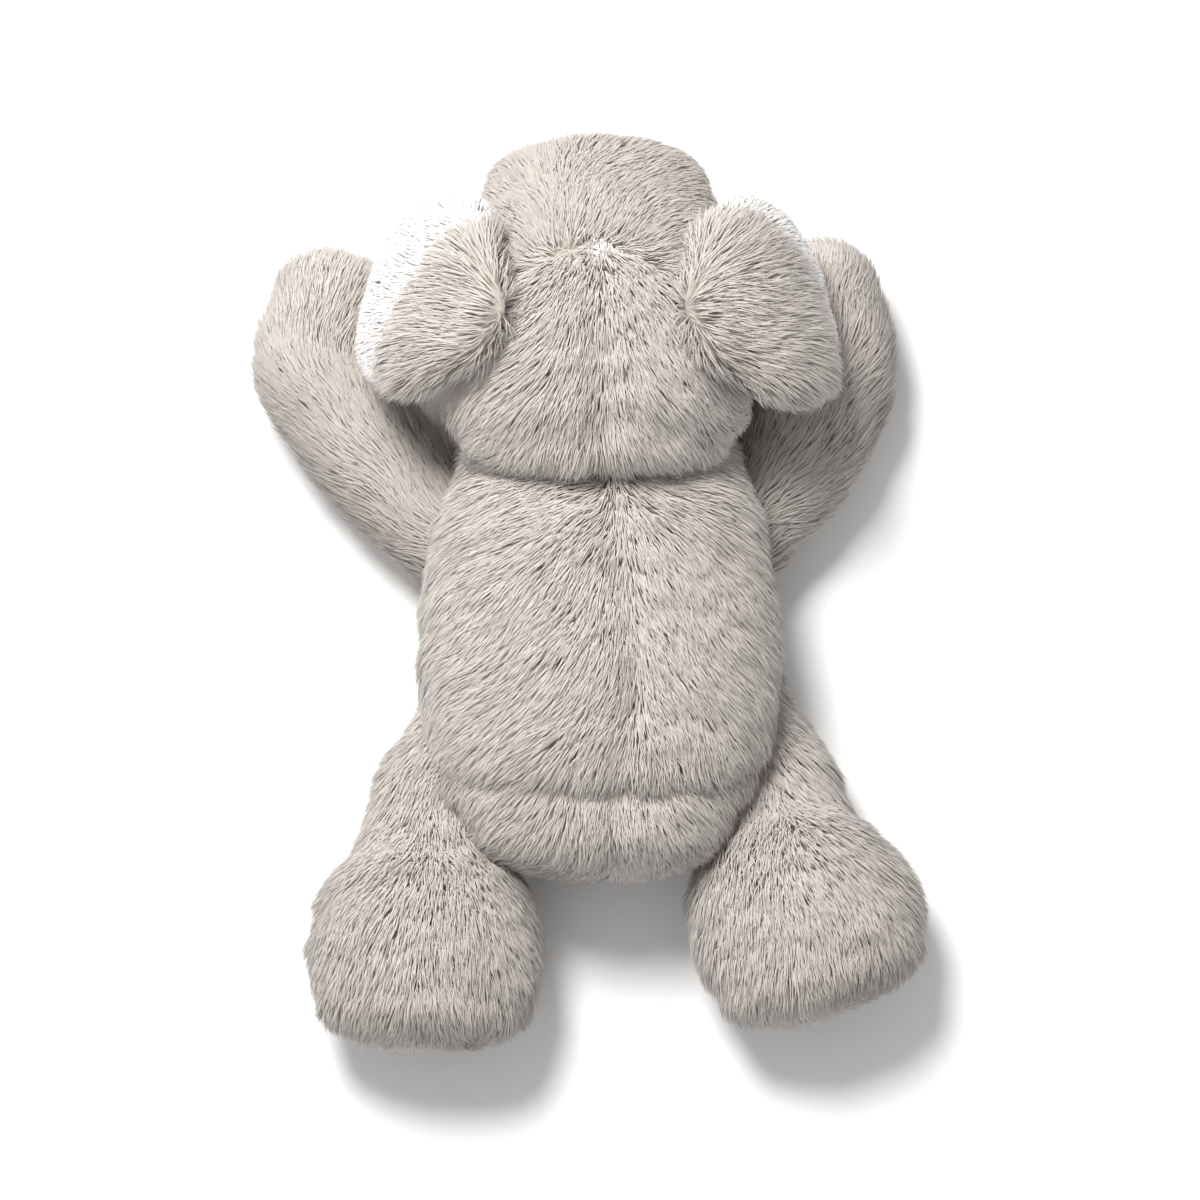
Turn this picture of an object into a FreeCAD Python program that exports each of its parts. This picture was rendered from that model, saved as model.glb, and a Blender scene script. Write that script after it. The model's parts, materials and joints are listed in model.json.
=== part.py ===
import FreeCAD, Part
import math
import os

# A stuffed elephant lying on its belly, in millimetres.  +Z is up, +Y runs from tail to head,
# and the toy's own left side is at -X.  The origin is on the face that the belly rests on.

Vector = FreeCAD.Vector
UP = Vector(0, 0, 1)

# Fabric and clearances
SKIN = 3.0              # plush backing with its dense lower pile
EAR_SKIN = 2.2          # thinner plush on the ears
GAP = 0.7               # room between pieces that move apart
BIG = 400.0             # side of the blocks that cut the skins into panels
THINNEST = 0.5          # an inner form keeps at least this share of the outer one near its tips
END_ANGLES = (12, 35, 62)   # degrees at which a limb's rounded end has its sections
ROUNDNESS = 0.001       # an ellipse's first radius is at least this much over its second

# Torso: a round form about the Y axis, flattened in height, cut level where the belly rests
TORSO_OUTLINE = [(-94.5, 0.0), (-93.0, 17.0), (-88.0, 31.5), (-74.0, 43.5), (-54.0, 53.0),
                 (-28.0, 56.0), (0.0, 53.5), (15.0, 50.0), (25.0, 43.0), (32.0, 31.0), (35.5, 18.0),
                 (37.0, 0.0)]
TORSO_HALF_SIZE = Vector(56.0, 65.75, 41.0)
TORSO_CENTRE = Vector(0.0, -28.75, 36.0)
SIDE_SEAM_Z = 22.0      # back panels meet the belly panel where the limbs are sewn in
BASE_SEAM = Vector(0.0, -69.0, 66.0)
BASE_SEAM_TILT = 24.0   # degrees that the oval base leans back

# Head: one lofted form from the nape to the brow.  Each station holds its place along Y,
# its height, its half width and its half height.
HEAD_MIDDLE_X = -1.0
HEAD_STATIONS = [(20.5, 49, 7, 6), (23, 50, 16, 14), (29, 53, 25, 21), (37, 56, 34.5, 27),
                 (48, 57, 44.5, 34), (64, 56.5, 50, 38.5), (80, 56.5, 48.5, 37.5), (96, 55, 43, 33.5),
                 (112, 53, 38.5, 28.5), (125, 52, 32.5, 23), (133, 51.5, 23, 16), (137, 51.5, 13, 8.5),
                 (138.2, 51.5, 5, 3)]
NECK_CENTRE = Vector(0.0, 55.0, 48.0)
NECK_ROOM_RADIUS = 40.0
NECK_RAISE = 20.0       # degrees that the head lifts
CROWN_SEAM_Y = 96.0
CHEEK_SEAM_Z = 46.0

# Trunk: comes down from the face and runs back under the chin, in the plane of symmetry
TRUNK_ROUTE = [Vector(-1, 124, 36), Vector(-1, 127, 26), Vector(-1, 122.5, 15.5), Vector(-1, 111, 10.6),
               Vector(-1, 97, 9.8), Vector(-1, 83, 9.2)]
TRUNK_RADII = [10.4, 10.0, 9.5, 8.9, 8.3, 7.6]
TRUNK_ROOM_RADIUS = 15.5
TRUNK_LIFT = 30.0       # degrees that the trunk swings forward

# Ears: a padded flap that starts just off the head and droops outward.  Each station holds its
# reach from the root, its lift off the head's tangent plane, its half length and half thickness.
EAR_ROOT = {-1: Vector(-33.0, 70.0, 0.0), 1: Vector(30.0, 70.0, 0.0)}
EAR_HEADING = {-1: Vector(-0.59, -0.81, 0.0), 1: Vector(0.47, -0.88, 0.0)}
EAR_STATIONS = [(-4.0, 6.2, 8, 2.4), (0, 6.2, 15, 4.3), (7, 7.2, 22, 5.6), (17, 7.6, 29, 6.8),
                (29, 5.0, 32, 7.2), (42, -0.5, 29, 6.6), (51, -6.5, 20, 5.0), (55, -10.0, 9, 2.8)]
EAR_SPLIT_REACH = 20.0  # the face between ear back and lining runs this far past both ends
EAR_SPLIT_SPAN = 60.0   # and this far to each side, and off the head
EAR_LIFT = 50.0         # degrees that an ear flaps up

# Arms: raised beside the head
ARM_ROUTE = {-1: [Vector(-47, 17, 20), Vector(-65, 35, 20), Vector(-80, 53, 20), Vector(-88, 70, 20.5),
                  Vector(-87.5, 84, 20.5)],
             1: [Vector(45, 20, 20), Vector(58, 37, 20), Vector(68, 54, 20), Vector(73, 72, 20.5),
                 Vector(70, 87, 20.5)]}
ARM_RADII = [17.0, 18.0, 18.5, 18.8, 18.8]
ARM_SWING = 65.0        # degrees that an arm swings out and down
ARM_ROOM_BELOW = 26.0   # the torso is open this far towards the tail from each shoulder

# Legs: straight back from under the torso, ending in broad round feet.  The last three stations
# along each leg are the foot.
LEG_ROUTE = {-1: [Vector(-48, -50, 24), Vector(-50, -68, 24), Vector(-51.5, -86, 24.5),
                  Vector(-53, -101, 26), Vector(-54.5, -117, 26.5), Vector(-55.5, -131, 26)],
             1: [Vector(44, -44, 24), Vector(49, -62, 24), Vector(55, -79, 24.5),
                 Vector(59.5, -93, 26), Vector(64.5, -108, 26.5), Vector(69, -121, 26)]}
LEG_HALF_WIDTHS = [20.5, 22.0, 23.5, 31.0, 34.5, 29.0]
LEG_HALF_HEIGHTS = [20.5, 22.0, 22.5, 24.5, 25.0, 20.0]
FOOT_END = 13.0         # the foot's rounded end past the last station
SOLE_BACK = 2.0         # the sole panel starts this far before the last station
LEG_ROOM_TOP = 47.6     # the torso is open below this height beside each leg
LEG_ROOM_INSIDE = 27.0  # and this far in from each hip
LEG_ROOM_AHEAD = 22.5   # and this far towards the head from each hip
LEG_ROOM_FLOOR = -1.0   # down through the level face
LEG_OUT = 40.0          # degrees that a leg swings outward
LEG_IN = 6.0            # degrees that a leg swings inward

# Eyes: a domed bead on a shank, held by a washer behind the fabric
EYE_DIRECTION = {-1: Vector(-0.62, 0.66, -0.42), 1: Vector(0.62, 0.66, -0.42)}
EYE_ORIGIN = Vector(-1.0, 106.0, 52.0)
EYE_RADIUS = 4.6
SHANK_RADIUS = 1.5
SHANK_LENGTH = 9.0
WASHER_RADIUS = 5.5
WASHER_THICKNESS = 1.4
WASHER_BEHIND = 1.0     # from the fabric's back to the washer


def side_name(side):
    return "left" if side < 0 else "right"


def slab(low, high):
    """The block between two corners; None in a corner leaves that side open."""
    start = [-BIG if value is None else value for value in low]
    end = [BIG if value is None else value for value in high]
    size = [b - a for a, b in zip(start, end)]
    return Part.makeBox(size[0], size[1], size[2], Vector(*start))


def oval(centre, normal, level, half_width, half_height):
    """An oval outline square to a route; level is the direction of its width."""
    flat = (level - normal * level.dot(normal)).normalize()
    axes = FreeCAD.Rotation(flat, normal.cross(flat), normal, "ZXY")
    ellipse = Part.Ellipse(Vector(), max(half_width, half_height + ROUNDNESS), half_height)
    edge = ellipse.toShape()
    edge.Placement = FreeCAD.Placement(centre, axes)
    return Part.Wire(edge)


def loft(ovals):
    return Part.makeLoft(ovals, True, False)


def limb(route, widths, heights, end_reach, inset):
    """A tube with oval sections along a smooth route, closed by rounded ends."""
    curve = Part.BSplineCurve()
    curve.interpolate(route)
    level = Vector(1, 0, 0)
    if abs(route[1].x - route[0].x) + abs(route[1].y - route[0].y) > 1.0:
        level = UP.cross(route[-1] - route[0])
    first_way = Vector(*curve.tangent(curve.FirstParameter)[0])
    last_way = Vector(*curve.tangent(curve.LastParameter)[0])
    sections = []
    start_reach = widths[0] - inset
    for angle in END_ANGLES:
        share = math.sin(math.radians(angle))
        back = start_reach * math.cos(math.radians(angle))
        sections.append(oval(route[0] - first_way * back, first_way, level,
                             (widths[0] - inset) * share, (heights[0] - inset) * share))
    for index, centre in enumerate(route):
        way = Vector(*curve.tangent(curve.parameter(centre))[0])
        sections.append(oval(centre, way, level, widths[index] - inset, heights[index] - inset))
    for angle in reversed(END_ANGLES):
        share = math.sin(math.radians(angle))
        ahead = (end_reach - inset) * math.cos(math.radians(angle))
        sections.append(oval(route[-1] + last_way * ahead, last_way, level,
                             (widths[-1] - inset) * share, (heights[-1] - inset) * share))
    return loft(sections)


def torso_form(inset):
    """The torso's outer form, or the same form a fabric's thickness further in."""
    outline = Part.BSplineCurve()
    outline.interpolate([Vector(radius, along, 0) for along, radius in TORSO_OUTLINE])
    ends = [Vector(0, TORSO_OUTLINE[-1][0], 0), Vector(0, TORSO_OUTLINE[0][0], 0)]
    face = Part.Face(Part.Wire([outline.toShape(), Part.makeLine(ends[0], ends[1])]))
    form = face.revolve(Vector(), Vector(0, 1, 0), 360)
    half = TORSO_HALF_SIZE
    matrix = FreeCAD.Matrix()
    matrix.move(Vector(0, -TORSO_CENTRE.y, 0))
    matrix.scale(Vector(1 - inset / half.x, 1 - inset / half.y, (half.z - inset) / half.x))
    matrix.move(TORSO_CENTRE)
    return form.transformGeometry(matrix).common(slab((None, None, inset), (None, None, None)))


def arm_room(side, extra):
    """The block beside a shoulder that the torso leaves open for the arm's root."""
    shoulder = ARM_ROUTE[side][0]
    radius = ARM_RADII[1] + GAP + extra
    edge = shoulder.x - side * radius
    near, far = (None, edge) if side < 0 else (edge, None)
    return slab((near, shoulder.y - ARM_ROOM_BELOW - extra, shoulder.z - radius),
                (far, None, shoulder.z + radius))


def leg_room(side, extra):
    """The block beside a hip that the torso leaves open for the thigh."""
    hip = LEG_ROUTE[side][0]
    edge = hip.x - side * (LEG_ROOM_INSIDE + extra)
    near, far = (None, edge) if side < 0 else (edge, None)
    return slab((near, None, LEG_ROOM_FLOOR),
                (far, hip.y + LEG_ROOM_AHEAD + extra, LEG_ROOM_TOP + extra))


def torso_solid(inset):
    solid = torso_form(inset).cut(Part.makeSphere(NECK_ROOM_RADIUS + inset, NECK_CENTRE))
    for side in (-1, 1):
        solid = solid.cut(arm_room(side, inset))
        solid = solid.cut(leg_room(side, inset))
    return solid


def torso_parts():
    inside = torso_solid(SKIN)
    skin = torso_solid(0.0).cut(inside)
    base_cut = slab((None, -BIG, None), (None, BASE_SEAM.y, None))
    base_cut.rotate(BASE_SEAM, Vector(1, 0, 0), BASE_SEAM_TILT)
    body_skin = skin.cut(base_cut)
    return {"base_panel": skin.common(base_cut),
            "belly_panel": body_skin.common(slab((None, None, None), (None, None, SIDE_SEAM_Z))),
            "back_panel_left": body_skin.common(slab((None, None, SIDE_SEAM_Z), (0, None, None))),
            "back_panel_right": body_skin.common(slab((0, None, SIDE_SEAM_Z), (None, None, None))),
            "torso_stuffing": inside}


def head_form(inset):
    last = len(HEAD_STATIONS) - 1
    ovals = []
    for index, (along, height, half_width, half_height) in enumerate(HEAD_STATIONS):
        shift = {0: inset, last: -inset}.get(index, inset * (1 - 2 * index / last))
        ovals.append(oval(Vector(HEAD_MIDDLE_X, along + shift, height), Vector(0, 1, 0), Vector(1, 0, 0),
                          max(half_width - inset, half_width * THINNEST),
                          max(half_height - inset, half_height * THINNEST)))
    return loft(ovals)


def head_solid(inset):
    return head_form(inset).cut(Part.makeSphere(TRUNK_ROOM_RADIUS + inset, TRUNK_ROUTE[0]))


def surface_point(form, origin, direction):
    """Where a straight line from inside a form leaves its surface, and the outward normal there."""
    line = Part.makeLine(origin, origin + direction * BIG)
    inside = form.common(line)
    leaving = max(inside.Vertexes, key=lambda vertex: (vertex.Point - origin).Length).Point
    face = min(form.Faces, key=lambda item: item.distToShape(Part.Vertex(leaving))[0])
    u, v = face.Surface.parameter(leaving)
    normal = face.normalAt(u, v)
    if normal.dot(direction) < 0:
        normal = normal * -1
    return leaving, normal


def ear_frame(side, head):
    """The root's middle on the head, the way along the root, outward, and off the head."""
    foot = EAR_ROOT[side]
    start = Vector(foot.x, foot.y, NECK_CENTRE.z)
    root, away = surface_point(head, start, UP)
    along = (EAR_HEADING[side] - away * EAR_HEADING[side].dot(away)).normalize()
    outward = along.cross(away)
    if outward.x * side < 0:
        outward = outward * -1
    return root, along, outward, away


def ear_form(frame, inset):
    root, along, outward, away = frame
    last = len(EAR_STATIONS) - 1
    ovals = []
    for index, (reach, lift, half_length, half_thickness) in enumerate(EAR_STATIONS):
        before = EAR_STATIONS[max(index - 1, 0)]
        after = EAR_STATIONS[min(index + 1, last)]
        way = (outward * (after[0] - before[0]) + away * (after[1] - before[1])).normalize()
        shift = inset * (1 - 2 * index / last)
        centre = root + outward * (reach + shift) + away * lift
        ovals.append(oval(centre, way, along, max(half_length - inset, half_length * THINNEST),
                          max(half_thickness - inset, half_thickness * THINNEST)))
    return loft(ovals)


def ear_parts(side, head):
    frame = ear_frame(side, head)
    root, along, outward, away = frame
    inside = ear_form(frame, EAR_SKIN)
    skin = ear_form(frame, 0.0).cut(inside)
    middle = [root + outward * reach + away * lift for reach, lift, _, _ in EAR_STATIONS]
    middle[0] = middle[0] - outward * EAR_SPLIT_REACH
    middle[-1] = middle[-1] + outward * EAR_SPLIT_REACH
    over = [middle[-1] + away * EAR_SPLIT_SPAN, middle[0] + away * EAR_SPLIT_SPAN]
    above = Part.Face(Part.makePolygon(middle + over + middle[:1])).extrude(along * (2 * EAR_SPLIT_SPAN))
    above.translate(along * -EAR_SPLIT_SPAN)
    name = side_name(side)
    return {"ear_back_" + name: skin.common(above),
            "ear_lining_" + name: skin.cut(above),
            "ear_wadding_" + name: inside}


def eye_parts(side, head):
    seat, axis = surface_point(head, EYE_ORIGIN, EYE_DIRECTION[side])
    dome = Part.makeSphere(EYE_RADIUS, seat).cut(head)
    shank = Part.makeCylinder(SHANK_RADIUS, SHANK_LENGTH, seat - axis * SHANK_LENGTH, axis)
    back = seat - axis * (SKIN + WASHER_BEHIND + WASHER_THICKNESS)
    washer = Part.makeCylinder(WASHER_RADIUS, WASHER_THICKNESS, back, axis).cut(shank)
    return {"eye_" + side_name(side): dome.fuse(shank),
            "eye_washer_" + side_name(side): washer}


def head_parts(outer):
    inside = head_solid(SKIN)
    skin = outer.cut(inside)
    parts = {}
    for side in (-1, 1):
        parts.update(eye_parts(side, outer))
    for name in list(parts):
        skin = skin.cut(parts[name])
        inside = inside.cut(parts[name])
    middle = HEAD_MIDDLE_X
    upper = skin.common(slab((None, None, CHEEK_SEAM_Z), (None, None, None)))
    lower = skin.common(slab((None, None, None), (None, None, CHEEK_SEAM_Z)))
    back = upper.common(slab((None, None, None), (None, CROWN_SEAM_Y, None)))
    parts["forehead_panel"] = upper.common(slab((None, CROWN_SEAM_Y, None), (None, None, None)))
    parts["head_back_left"] = back.common(slab((None, None, None), (middle, None, None)))
    parts["head_back_right"] = back.common(slab((middle, None, None), (None, None, None)))
    parts["cheek_panel_left"] = lower.common(slab((None, None, None), (middle, None, None)))
    parts["cheek_panel_right"] = lower.common(slab((middle, None, None), (None, None, None)))
    parts["head_stuffing"] = inside
    return parts


def trunk_parts():
    inside = limb(TRUNK_ROUTE, TRUNK_RADII, TRUNK_RADII, TRUNK_RADII[-1], SKIN)
    skin = limb(TRUNK_ROUTE, TRUNK_RADII, TRUNK_RADII, TRUNK_RADII[-1], 0.0).cut(inside)
    middle = TRUNK_ROUTE[0].x
    return {"trunk_panel_left": skin.common(slab((None, None, None), (middle, None, None))),
            "trunk_panel_right": skin.common(slab((middle, None, None), (None, None, None))),
            "trunk_stuffing": inside}


def arm_parts(side):
    inside = limb(ARM_ROUTE[side], ARM_RADII, ARM_RADII, ARM_RADII[-1], SKIN)
    skin = limb(ARM_ROUTE[side], ARM_RADII, ARM_RADII, ARM_RADII[-1], 0.0).cut(inside)
    seam = ARM_ROUTE[side][0].z
    name = side_name(side)
    return {"arm_upper_panel_" + name: skin.common(slab((None, None, seam), (None, None, None))),
            "arm_lower_panel_" + name: skin.common(slab((None, None, None), (None, None, seam))),
            "arm_stuffing_" + name: inside}


def leg_parts(side):
    route = LEG_ROUTE[side]
    inside = limb(route, LEG_HALF_WIDTHS, LEG_HALF_HEIGHTS, FOOT_END, SKIN)
    skin = limb(route, LEG_HALF_WIDTHS, LEG_HALF_HEIGHTS, FOOT_END, 0.0).cut(inside)
    way = (route[-1] - route[-2]).normalize()
    sole_cut = Part.makeBox(BIG, BIG, BIG, Vector(-BIG / 2, -BIG / 2, 0))
    sole_cut.Placement = FreeCAD.Placement(route[-1] - way * SOLE_BACK, FreeCAD.Rotation(UP, way))
    upper = skin.cut(sole_cut)
    seam = route[0].z
    name = side_name(side)
    return {"leg_upper_panel_" + name: upper.common(slab((None, None, seam), (None, None, None))),
            "leg_lower_panel_" + name: upper.common(slab((None, None, None), (None, None, seam))),
            "foot_sole_" + name: skin.common(sole_cut),
            "leg_stuffing_" + name: inside}


def all_parts():
    head = head_solid(0.0)
    parts = {}
    parts.update(torso_parts())
    parts.update(head_parts(head))
    parts.update(trunk_parts())
    for side in (-1, 1):
        parts.update(ear_parts(side, head))
        parts.update(arm_parts(side))
        parts.update(leg_parts(side))
    return parts


def write_parts():
    os.makedirs("parts", exist_ok=True)
    for name, shape in all_parts().items():
        if not shape.isValid() or len(shape.Solids) != 1:
            raise ValueError(name + " is not one valid solid")
        shape.Solids[0].exportStep("parts/" + name + ".step")


write_parts()
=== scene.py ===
import json
import math

import bpy
import numpy as np
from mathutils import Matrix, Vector, kdtree


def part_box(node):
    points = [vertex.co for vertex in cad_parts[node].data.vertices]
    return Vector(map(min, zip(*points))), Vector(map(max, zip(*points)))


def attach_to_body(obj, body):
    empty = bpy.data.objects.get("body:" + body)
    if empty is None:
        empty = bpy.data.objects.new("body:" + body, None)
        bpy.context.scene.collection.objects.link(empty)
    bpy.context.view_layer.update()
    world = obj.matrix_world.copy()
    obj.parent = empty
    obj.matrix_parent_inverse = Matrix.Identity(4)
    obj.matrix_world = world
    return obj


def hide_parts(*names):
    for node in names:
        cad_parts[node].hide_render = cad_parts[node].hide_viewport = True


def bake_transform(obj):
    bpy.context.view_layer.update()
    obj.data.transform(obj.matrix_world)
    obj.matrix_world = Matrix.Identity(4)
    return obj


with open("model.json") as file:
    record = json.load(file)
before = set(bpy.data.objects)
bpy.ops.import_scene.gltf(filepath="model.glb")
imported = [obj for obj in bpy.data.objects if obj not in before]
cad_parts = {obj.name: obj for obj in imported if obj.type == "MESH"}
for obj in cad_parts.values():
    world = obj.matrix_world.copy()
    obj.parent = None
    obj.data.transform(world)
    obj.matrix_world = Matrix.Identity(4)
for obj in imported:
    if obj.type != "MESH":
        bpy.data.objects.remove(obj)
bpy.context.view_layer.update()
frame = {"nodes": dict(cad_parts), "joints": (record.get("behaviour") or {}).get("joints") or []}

# A plush elephant lying on its belly.  Lengths are in millimetres, and become metres when a mesh is made.
# Each soft body has a backing skin (the padded form) and pile strands on it, one piece of pile a panel.
# Lights and the camera are in metres.

MM = 0.001
RNG = np.random.default_rng(20)
UP = np.array([0.0, 0.0, 1.0])
JOINTS = {joint["name"]: joint for joint in frame["joints"]}

PILE_INSET = 2.6        # the backing lies this far inside the frame's outer form
VOXEL = 2.4             # cell of the even mesh of each skin
PILE_PER_MM2 = 2.3      # strands on the upper side; the underside has UNDER_SHARE of it
UNDER_SHARE = 0.45


# ---------------------------------------------------------------- small tools

def unit(vectors):
    length = np.linalg.norm(vectors, axis=-1, keepdims=True)
    return vectors / np.maximum(length, 1e-9)


def smooth(rows, places):
    """A smooth curve through rows of numbers, read at places from 0 to 1."""
    rows = np.asarray(rows, float)
    spans = len(rows) - 1
    wide = np.vstack([2 * rows[0] - rows[1], rows, 2 * rows[-1] - rows[-2]])
    at = np.clip(np.asarray(places) * spans, 0, spans - 1e-9)
    index = at.astype(int)
    t = (at - index)[:, None]
    a, b, c, d = (wide[index + step] for step in range(4))
    return 0.5 * (2 * b + (c - a) * t + (2 * a - 5 * b + 4 * c - d) * t ** 2
                  + (3 * b - a - 3 * c + d) * t ** 3)


def step(low, high, values):
    """Rises smoothly from 0 at low to 1 at high."""
    t = np.clip((values - low) / (high - low), 0, 1)
    return t * t * (3 - 2 * t)


class Noise:
    """Smooth noise made of seeded sine waves, for vertex work."""

    def __init__(self, seed, size, waves=10):
        rng = np.random.default_rng(seed)
        ways = unit(rng.normal(size=(waves, 3)))
        self.ways = ways * rng.uniform(0.7, 1.5, (waves, 1)) * 2 * math.pi / size
        self.phases = rng.uniform(0, 2 * math.pi, waves)

    def __call__(self, points):
        return np.sin(points @ self.ways.T + self.phases).mean(axis=1) * 1.6


def box_of(*nodes):
    """Lowest and highest corners of some frame nodes together, in millimetres."""
    corners = np.array([[list(corner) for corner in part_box(node)] for node in nodes]) / MM
    return corners[:, 0].min(axis=0), corners[:, 1].max(axis=0)


def pivot_of(joint):
    """A joint's place at rest, in millimetres."""
    return np.array(JOINTS[joint]["pos_m"]) / MM


# ---------------------------------------------------------------- forms

ROUTE_STEPS = 600       # points of the fine curve that rings are placed on


def ring_faces(count, around):
    """Faces between rings of points, and fans to the two points after them, which close the ends."""
    index = np.arange(count * around).reshape(count, around)
    here, there = index[:-1], index[1:]
    quads = np.stack([here, there, np.roll(there, -1, 1), np.roll(here, -1, 1)], axis=-1)
    faces = quads.reshape(-1, 4).tolist()
    first = count * around
    last = first + 1
    for k in range(around):
        faces.append([first, index[0][k], index[0][(k + 1) % around]])
        faces.append([last, index[-1][(k + 1) % around], index[-1][k]])
    return faces


def ring_form(route, sizes, level, caps, blunt=2.0, square=2.0, rings=72, around=96):
    """Points and faces of a round closed form: oval rings along a route, with rounded ends.
    sizes holds half width and half height; caps are the rounded lengths past the route's ends.
    Above 2, blunt makes the ends fuller and square makes the rings squarer."""
    route = np.asarray(route, float)
    sizes = np.asarray(sizes, float)
    start = route[0] - unit(route[1] - route[0]) * caps[0]
    end = route[-1] + unit(route[-1] - route[-2]) * caps[1]
    inner = 0.5 - 0.5 * np.cos(np.linspace(0, math.pi, rings))
    fine = smooth(np.vstack([start, route, end]), np.linspace(0, 1, ROUTE_STEPS))
    run = np.concatenate([[0], np.cumsum(np.linalg.norm(np.diff(fine, axis=0), axis=1))])
    at = inner * run[-1]
    centres = np.column_stack([np.interp(at, run, fine[:, axis]) for axis in range(3)])
    spots = [run[np.argmin(np.linalg.norm(fine - point, axis=1))] for point in route]
    spots = np.array([0.0] + spots + [run[-1]])
    wide_sizes = np.vstack([sizes[0], sizes, sizes[-1]])
    share = np.interp(at, spots, np.linspace(0, 1, len(spots)))
    ring_sizes = smooth(wide_sizes, share)
    from_start = np.clip(at / max(spots[1], 1e-6), 0, 1)
    from_end = np.clip((run[-1] - at) / max(run[-1] - spots[-2], 1e-6), 0, 1)
    close = (1 - (1 - from_start) ** blunt) ** (1 / blunt) * (1 - (1 - from_end) ** blunt) ** (1 / blunt)
    ways = unit(np.gradient(centres, axis=0))
    flat = unit(level - ways * (ways @ level)[:, None])
    tall = np.cross(ways, flat)
    angles = np.linspace(0, 2 * math.pi, around, endpoint=False)
    across = np.sign(np.cos(angles)) * np.abs(np.cos(angles)) ** (2 / square)
    upward = np.sign(np.sin(angles)) * np.abs(np.sin(angles)) ** (2 / square)
    half_wide = (ring_sizes[1:-1, 0] * close[1:-1])[:, None, None]
    half_tall = (ring_sizes[1:-1, 1] * close[1:-1])[:, None, None]
    rims = centres[1:-1, None] + (flat[1:-1, None] * (across[None, :, None] * half_wide)
                                  + tall[1:-1, None] * (upward[None, :, None] * half_tall))
    points = np.vstack([rims.reshape(-1, 3), centres[0], centres[-1]])
    return points, ring_faces(rings - 2, around)


def skin_object(name, points, faces, material):
    """A closed skin with an even mesh, so that cloth and softening act alike all over it."""
    mesh = bpy.data.meshes.new(name)
    mesh.from_pydata((points * MM).tolist(), [], faces)
    mesh.validate()
    obj = bpy.data.objects.new(name, mesh)
    bpy.context.collection.objects.link(obj)
    obj.data.materials.append(material)
    remesh = obj.modifiers.new("even", "REMESH")
    remesh.mode = "VOXEL"
    remesh.voxel_size = VOXEL * MM
    remesh.use_smooth_shade = True
    apply_modifiers(obj)
    return obj


def apply_modifiers(obj):
    graph = bpy.context.evaluated_depsgraph_get()
    mesh = bpy.data.meshes.new_from_object(obj.evaluated_get(graph))
    old = obj.data
    obj.modifiers.clear()
    obj.data = mesh
    bpy.data.meshes.remove(old)


def points_of(obj):
    co = np.empty(len(obj.data.vertices) * 3)
    obj.data.vertices.foreach_get("co", co)
    return co.reshape(-1, 3) / MM


def normals_of(obj):
    normals = np.empty(len(obj.data.vertices) * 3)
    obj.data.vertices.foreach_get("normal", normals)
    return normals.reshape(-1, 3)


def set_points(obj, points):
    obj.data.vertices.foreach_set("co", (points * MM).ravel())
    obj.data.update()


def push(obj, amount):
    """Moves every point along its normal by amount(points, normals)."""
    points = points_of(obj)
    normals = normals_of(obj)
    set_points(obj, points + normals * amount(points, normals)[:, None])


def soften(obj, rounds):
    """Evens out a skin without moving its open features far."""
    edges = np.empty(len(obj.data.edges) * 2, dtype=np.int64)
    obj.data.edges.foreach_get("vertices", edges)
    a, b = edges.reshape(-1, 2).T
    points = points_of(obj)
    count = np.bincount(np.concatenate([a, b]), minlength=len(points))[:, None]
    for _ in range(rounds):
        total = np.zeros_like(points)
        np.add.at(total, a, points[b])
        np.add.at(total, b, points[a])
        points = 0.5 * points + 0.5 * total / count
    set_points(obj, points)


CLOTH_FRAMES = 20
AIR_PRESSURE = 4.0


def puff(obj, pinned, cap):
    """Fills the skin like a cushion: cloth with air pressure, held at its seams.
    No point moves further than cap."""
    before = points_of(obj)
    group = obj.vertex_groups.new(name="seams")
    for index in np.flatnonzero(pinned(before)):
        group.add([int(index)], 1.0, "REPLACE")
    cloth = obj.modifiers.new("cloth", "CLOTH")
    cloth.settings.quality = 5
    cloth.settings.mass = 0.2
    cloth.settings.tension_stiffness = 12
    cloth.settings.compression_stiffness = 12
    cloth.settings.bending_stiffness = 0.4
    cloth.settings.use_pressure = True
    cloth.settings.uniform_pressure_force = AIR_PRESSURE
    cloth.settings.vertex_group_mass = "seams"
    cloth.settings.effector_weights.gravity = 0
    cloth.collision_settings.use_collision = False
    for number in range(1, CLOTH_FRAMES + 1):
        bpy.context.scene.frame_set(number)
    graph = bpy.context.evaluated_depsgraph_get()
    found = obj.evaluated_get(graph).to_mesh()
    after = np.empty(len(found.vertices) * 3)
    found.vertices.foreach_get("co", after)
    obj.evaluated_get(graph).to_mesh_clear()
    obj.modifiers.clear()
    obj.vertex_groups.clear()
    bpy.context.scene.frame_set(1)
    shift = after.reshape(-1, 3) / MM - before
    length = np.linalg.norm(shift, axis=1, keepdims=True)
    set_points(obj, before + shift * np.minimum(1, cap / np.maximum(length, 1e-9)))


# ---------------------------------------------------------------- materials

def material(name):
    """A new material, with its nodes, its links and its shader."""
    made = bpy.data.materials.new(name)
    made.use_nodes = True
    return made, made.node_tree.nodes, made.node_tree.links, made.node_tree.nodes["Principled BSDF"]


def ramp(nodes, stops):
    """A colour ramp through (place, colour) stops."""
    node = nodes.new("ShaderNodeValToRGB")
    elements = node.color_ramp.elements
    while len(elements) < len(stops):
        elements.new(0.5)
    for element, (place, colour) in zip(elements, stops):
        element.position = place
        element.color = (*colour, 1)
    return node


def noise_texture(nodes, links, scale, detail=2.0):
    """Noise over a piece's own coordinates."""
    place = nodes.new("ShaderNodeTexCoord")
    noise = nodes.new("ShaderNodeTexNoise")
    noise.inputs["Scale"].default_value = scale
    noise.inputs["Detail"].default_value = detail
    links.new(place.outputs["Object"], noise.inputs["Vector"])
    return noise.outputs["Fac"]


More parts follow.
